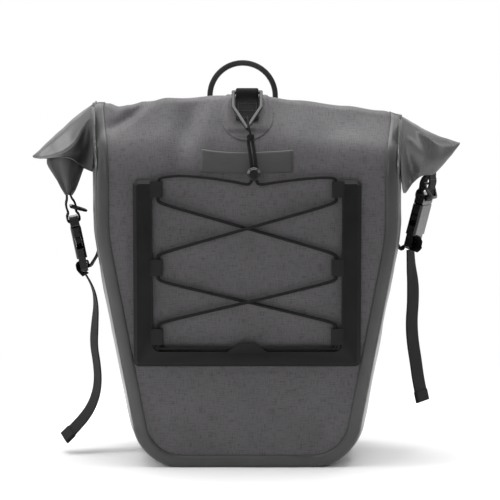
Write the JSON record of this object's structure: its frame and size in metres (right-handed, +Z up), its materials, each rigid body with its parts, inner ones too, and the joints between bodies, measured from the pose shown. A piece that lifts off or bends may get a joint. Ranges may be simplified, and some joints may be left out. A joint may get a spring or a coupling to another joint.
{
  "type": "pannier bag",
  "caption": "Roll-top waterproof pannier bag with lacing frame, bungee, side straps, rack hooks and carry handle.",
  "frame": {"origin": "on the floor under the middle of the bag", "axes": "+Z up, front faces -Y, +X to the right of a person facing the front"},
  "size_m": [0.468, 0.2014, 0.436],
  "materials": {
    "heather_fabric": "matt coated weave",
    "smooth_tpu": "satin",
    "seam_tape": "satin",
    "label_rubber": "matt",
    "stiffener": "matt",
    "moulded_black": "fine moulded grain",
    "handle_rubber": "satin",
    "gloss_black": "gloss",
    "bungee": "braided sleeve",
    "webbing": "woven",
    "steel": "satin"
  },
  "bodies": {
    "bag": {"front_panel": "heather_fabric", "rear_collar": "heather_fabric", "roll_top": "heather_fabric", "side_gusset": "smooth_tpu", "left_wing": "smooth_tpu", "right_wing": "smooth_tpu", "back_panel": "smooth_tpu", "hook_patch": "smooth_tpu", "seam_tape": "seam_tape", "rubber_label": "label_rubber", "left_anchor_patch": "smooth_tpu", "right_anchor_patch": "smooth_tpu", "back_board": "stiffener", "base_board": "stiffener", "roll_slat": "stiffener", "lacing_frame": "moulded_black", "upper_rail": "moulded_black", "lower_rail": "moulded_black", "rack_hook_left": "moulded_black", "rack_hook_right": "moulded_black", "cord_lock_body": "gloss_black", "hook_ring": "gloss_black", "left_buckle_male": "gloss_black", "left_buckle_socket": "gloss_black", "right_buckle_male": "gloss_black", "right_buckle_socket": "gloss_black", "bungee_cord": "bungee", "bungee_knot": "bungee", "knot_loop": "bungee", "hook_tab": "webbing", "left_top_strap": "webbing", "right_top_strap": "webbing", "left_lower_strap": "webbing", "right_lower_strap": "webbing", "left_strap_tail": "webbing", "right_strap_tail": "webbing", "left_tail_hem": "webbing", "right_tail_hem": "webbing", "rail_screws": "steel", "latch_pin_left": "steel", "latch_pin_right": "steel", "anchor_bolt": "steel"},
    "handle": {"carry_handle": "handle_rubber"},
    "latch_left": {"hook_latch_left": "moulded_black"},
    "latch_right": {"hook_latch_right": "moulded_black"},
    "anchor": {"anchor_hook": "moulded_black"},
    "ring_left": {"left_d_ring": "gloss_black"},
    "ring_right": {"right_d_ring": "gloss_black"},
    "button": {"cord_lock_button": "gloss_black"},
    "prong_left_front": {"left_prong_front": "gloss_black"},
    "prong_left_rear": {"left_prong_rear": "gloss_black"},
    "prong_right_front": {"right_prong_front": "gloss_black"},
    "prong_right_rear": {"right_prong_rear": "gloss_black"}
  },
  "joints": [
    {"name": "handle_lift", "type": "slide", "parent": "bag", "child": "handle", "axis": [0, 0, 1], "range_m": [0, 0.01]},
    {"name": "latch_left_open", "type": "hinge", "parent": "bag", "child": "latch_left", "pos_m": [-0.043, 0.084, 0.306], "axis": [1, 0, 0], "range_deg": [-55, 0]},
    {"name": "latch_right_open", "type": "hinge", "parent": "bag", "child": "latch_right", "pos_m": [0.032, 0.084, 0.306], "axis": [1, 0, 0], "range_deg": [-55, 0]},
    {"name": "anchor_swivel", "type": "hinge", "parent": "bag", "child": "anchor", "pos_m": [0, 0.0803, 0.103], "axis": [0, 1, 0], "range_deg": [-90, 90]},
    {"name": "ring_left_swing", "type": "hinge", "parent": "bag", "child": "ring_left", "pos_m": [-0.19364, 0.0047, 0.27379], "axis": [-0.1392, 0.9903, 0], "range_deg": [-48, 0]},
    {"name": "ring_right_swing", "type": "hinge", "parent": "bag", "child": "ring_right", "pos_m": [0.19802, 0.00388, 0.29865], "axis": [0.4067, 0.9135, 0], "range_deg": [-70, 0]},
    {"name": "lock_button_press", "type": "slide", "parent": "bag", "child": "button", "axis": [0, 1, 0], "range_m": [0, 0.0025], "stiffness_N_per_m": 400},
    {"name": "buckle_left_squeeze", "type": "hinge", "parent": "bag", "child": "prong_left_front", "pos_m": [-0.18762, -0.00455, 0.25045], "axis": [0.971, 0.1365, 0.1961], "range_deg": [0, 10], "stiffness_Nm_per_rad": 0.3},
    {"name": "buckle_left_rear_prong", "type": "hinge", "parent": "bag", "child": "prong_left_rear", "pos_m": [-0.19041, 0.01525, 0.25045], "axis": [0.971, 0.1365, 0.1961], "range_deg": [-10, 0], "stiffness_Nm_per_rad": 0.3},
    {"name": "buckle_right_squeeze", "type": "hinge", "parent": "bag", "child": "prong_right_front", "pos_m": [0.1885, -0.00283, 0.27561], "axis": [0.8844, -0.3938, -0.2507], "range_deg": [0, 10], "stiffness_Nm_per_rad": 0.3},
    {"name": "buckle_right_rear_prong", "type": "hinge", "parent": "bag", "child": "prong_right_rear", "pos_m": [0.19664, 0.01544, 0.27561], "axis": [0.8844, -0.3938, -0.2507], "range_deg": [-10, 0], "stiffness_Nm_per_rad": 0.3}
  ],
  "couplings": [
    {"joint": "latch_left_open", "follows": "handle_lift", "rad_per_m": -90},
    {"joint": "latch_right_open", "follows": "handle_lift", "rad_per_m": -90},
    {"joint": "buckle_left_rear_prong", "follows": "buckle_left_squeeze", "ratio": -1},
    {"joint": "buckle_right_rear_prong", "follows": "buckle_right_squeeze", "ratio": -1}
  ]
}
